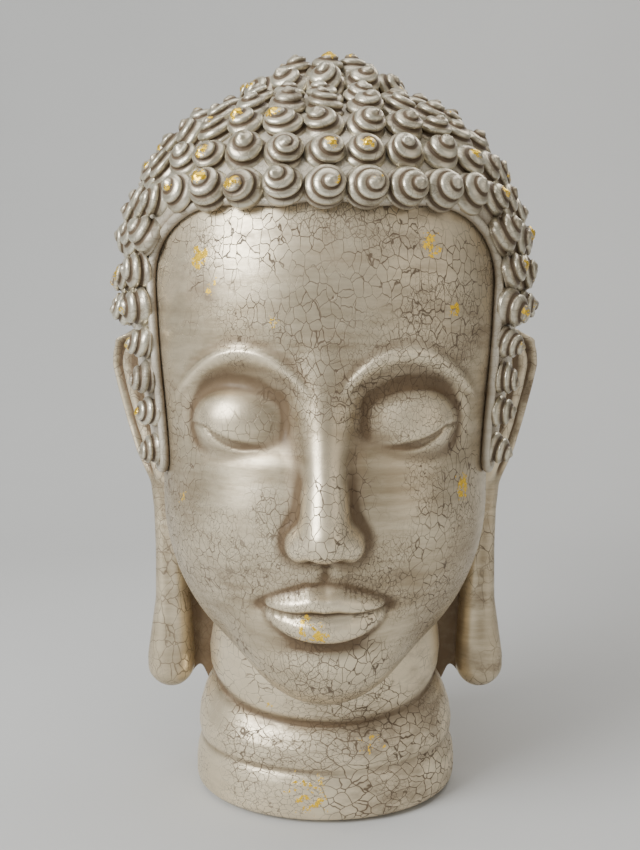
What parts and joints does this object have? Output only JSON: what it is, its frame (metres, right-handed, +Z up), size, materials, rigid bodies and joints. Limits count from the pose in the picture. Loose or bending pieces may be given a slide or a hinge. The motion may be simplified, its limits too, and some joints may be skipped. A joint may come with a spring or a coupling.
{
  "type": "buddha head statue",
  "caption": "Hollow head statue with a calm face, rows of snail-shell curls over a crown dome, long-lobed ears and a rolled neck on a flat felted base.",
  "frame": {"origin": "centre of the felt pad's underside, on the surface the statue stands on", "axes": "+Z up to the crown, -Y the way the face looks, +X the statue's left, on the right of a viewer who faces it"},
  "size_m": [0.234, 0.2644, 0.4],
  "materials": {
    "crackle_paint": "pearly metallic paint with fine brown crackle and flecks of gold",
    "hair_paint": "pearly metallic paint with a brown wash in the hollows and gold on the tips",
    "cap_paint": "satin off-white with a brown wash",
    "bare_resin": "unpainted cast resin",
    "felt": "felt"
  },
  "bodies": {
    "root": {"base_plate": "bare_resin", "crown_curl_row_1": "hair_paint", "crown_curl_row_2": "hair_paint", "crown_dome": "cap_paint", "crown_tip_curl": "hair_paint", "curl_row_01": "hair_paint", "curl_row_02": "hair_paint", "curl_row_03": "hair_paint", "curl_row_04": "hair_paint", "curl_row_05": "hair_paint", "curl_row_06": "hair_paint", "curl_row_07": "hair_paint", "curl_row_08": "hair_paint", "curl_row_09_back": "hair_paint", "curl_row_09_sideburn_left": "hair_paint", "curl_row_09_sideburn_right": "hair_paint", "curl_row_10_back": "hair_paint", "curl_row_10_sideburn_left": "hair_paint", "curl_row_10_sideburn_right": "hair_paint", "curl_row_11_back": "hair_paint", "curl_row_11_sideburn_left": "hair_paint", "curl_row_11_sideburn_right": "hair_paint", "curl_row_12_back": "hair_paint", "curl_row_12_sideburn_left": "hair_paint", "curl_row_12_sideburn_right": "hair_paint", "ear_left": "crackle_paint", "ear_right": "crackle_paint", "face_casting": "crackle_paint", "felt_pad": "felt", "hair_cap": "cap_paint", "neck_casting": "crackle_paint", "rear_casting": "crackle_paint"}
  },
  "joints": []
}
